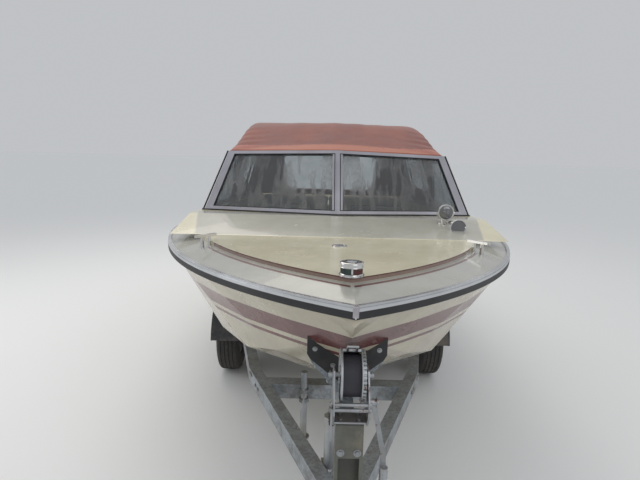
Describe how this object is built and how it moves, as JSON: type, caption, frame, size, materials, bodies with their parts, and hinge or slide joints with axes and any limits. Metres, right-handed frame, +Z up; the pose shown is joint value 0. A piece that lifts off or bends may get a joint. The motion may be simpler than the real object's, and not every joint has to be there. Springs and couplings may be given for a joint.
{
  "type": "speedboat_on_trailer",
  "caption": "Cream and maroon family speedboat with windshield and red-brown canvas canopy, strapped to its two-axle road trailer",
  "frame": {"origin": "on the ground under the middle of the whole length, trailer coupling to propeller", "axes": "+Z up, bow and coupling towards -Y, stern towards +Y, starboard side of the boat at -X"},
  "size_m": [2.04, 5.97, 1.908],
  "materials": {
    "gelcoat": "aged cream gelcoat with maroon stripes",
    "rubber": "weathered black rubber",
    "bright": "dulled polished strip",
    "anodised": "satin anodised with black seals",
    "glass": "clear with dew",
    "canvas": "red-brown boat canvas",
    "clear_vinyl": "clear flexible vinyl",
    "chrome": "polished with light pitting",
    "dark_vinyl": "grained dark vinyl",
    "black_plastic": "satin black",
    "seat_vinyl": "grained cream vinyl",
    "engine_paint": "dark grey paint",
    "drive_paint": "satin grey paint",
    "alloy": "cast alloy",
    "galvanised": "dull hot-dip galvanised steel",
    "winch_grey": "olive grey paint over steel",
    "zinc": "zinc plated, dulled",
    "webbing": "black webbing or carpet",
    "lamp_red": "red lens in a black housing",
    "tyre": "worn road tyre",
    "rim_paint": "silver painted steel"
  },
  "bodies": {
    "boat_and_trailer": {"hull": "gelcoat", "deck": "gelcoat", "rub_rail": "rubber", "rail_strip": "bright", "windshield_frame": "anodised", "windshield_glass": "glass", "canopy": "canvas", "canopy_windows": "clear_vinyl", "canopy_hoops": "bright", "bow_light": "chrome", "deck_plate": "chrome", "cleats": "chrome", "searchlight": "chrome", "horn": "chrome", "hull_eyes": "chrome", "dash": "dark_vinyl", "throttle": "black_plastic", "seat_bases": "gelcoat", "front_seats": "seat_vinyl", "rear_bench": "seat_vinyl", "engine": "engine_paint", "engine_box": "gelcoat", "transom_shield": "drive_paint", "drawbar": "galvanised", "side_rails": "galvanised", "cross_members": "galvanised", "coupling": "galvanised", "winch_post": "winch_grey", "winch_frame": "zinc", "winch_drum": "zinc", "winch_strap": "webbing", "strap_hook": "zinc", "winch_crank": "black_plastic", "bow_chock": "galvanised", "chock_pads": "rubber", "keel_rollers": "rubber", "bunks": "webbing", "axles": "galvanised", "mudguards": "black_plastic", "tail_lamps": "lamp_red", "trailer_brackets": "galvanised", "jockey_clamp": "zinc"},
    "steering_wheel": {"steering_wheel": "black_plastic"},
    "engine_lid": {"engine_lid": "seat_vinyl"},
    "drive_yoke": {"drive_yoke": "drive_paint"},
    "drive_leg": {"drive_leg": "drive_paint"},
    "propeller": {"propeller": "alloy"},
    "jockey_inner": {"jockey_inner": "zinc"},
    "jockey_fork": {"jockey_fork": "zinc"},
    "jockey_wheel": {"jockey_wheel": "rubber"},
    "steady_leg": {"steady_leg": "zinc"},
    "wheel_front_right": {"tyre_front_right": "tyre", "rim_front_right": "rim_paint"},
    "wheel_front_left": {"tyre_front_left": "tyre", "rim_front_left": "rim_paint"},
    "wheel_rear_right": {"tyre_rear_right": "tyre", "rim_rear_right": "rim_paint"},
    "wheel_rear_left": {"tyre_rear_left": "tyre", "rim_rear_left": "rim_paint"}
  },
  "joints": [
    {"name": "drive_steer", "type": "hinge", "parent": "boat_and_trailer", "child": "drive_yoke", "pos_m": [0, 2.495, 0.85], "axis": [0, 0, 1], "range_deg": [-28, 28]},
    {"name": "drive_tilt", "type": "hinge", "parent": "drive_yoke", "child": "drive_leg", "pos_m": [0, 2.57, 0.85], "axis": [1, 0, 0], "range_deg": [0, 45]},
    {"name": "propeller_spin", "type": "hinge", "parent": "drive_leg", "child": "propeller", "pos_m": [0, 2.865, 0.275], "axis": [0, 1, 0], "continuous": true},
    {"name": "helm_turn", "type": "hinge", "parent": "boat_and_trailer", "child": "steering_wheel", "pos_m": [-0.4, -0.37, 1.14], "axis": [0, 0.8829, 0.4695], "range_deg": [-540, 540]},
    {"name": "engine_lid_hinge", "type": "hinge", "parent": "boat_and_trailer", "child": "engine_lid", "pos_m": [0, 2.113, 1.125], "axis": [-1, 0, 0], "range_deg": [0, 75]},
    {"name": "jockey_slide", "type": "slide", "parent": "boat_and_trailer", "child": "jockey_inner", "axis": [0, 0, 1], "range_m": [0, 0.12]},
    {"name": "jockey_swivel", "type": "hinge", "parent": "jockey_inner", "child": "jockey_fork", "pos_m": [-0.046, -1.96, 0.236], "axis": [0, 0, 1], "continuous": true},
    {"name": "jockey_roll", "type": "hinge", "parent": "jockey_fork", "child": "jockey_wheel", "pos_m": [-0.046, -1.905, 0.105], "axis": [1, 0, 0], "continuous": true},
    {"name": "steady_leg_slide", "type": "slide", "parent": "boat_and_trailer", "child": "steady_leg", "axis": [0, 0, -1], "range_m": [0, 0.165]},
    {"name": "roll_front_right", "type": "hinge", "parent": "boat_and_trailer", "child": "wheel_front_right", "pos_m": [0.7525, -0.105, 0.29], "axis": [1, 0, 0], "continuous": true},
    {"name": "roll_front_left", "type": "hinge", "parent": "boat_and_trailer", "child": "wheel_front_left", "pos_m": [-0.7525, -0.105, 0.29], "axis": [1, 0, 0], "continuous": true},
    {"name": "roll_rear_right", "type": "hinge", "parent": "boat_and_trailer", "child": "wheel_rear_right", "pos_m": [0.7525, 0.625, 0.29], "axis": [1, 0, 0], "continuous": true},
    {"name": "roll_rear_left", "type": "hinge", "parent": "boat_and_trailer", "child": "wheel_rear_left", "pos_m": [-0.7525, 0.625, 0.29], "axis": [1, 0, 0], "continuous": true}
  ],
  "couplings": [
    {"joint": "helm_turn", "follows": "drive_steer", "ratio": -19}
  ]
}
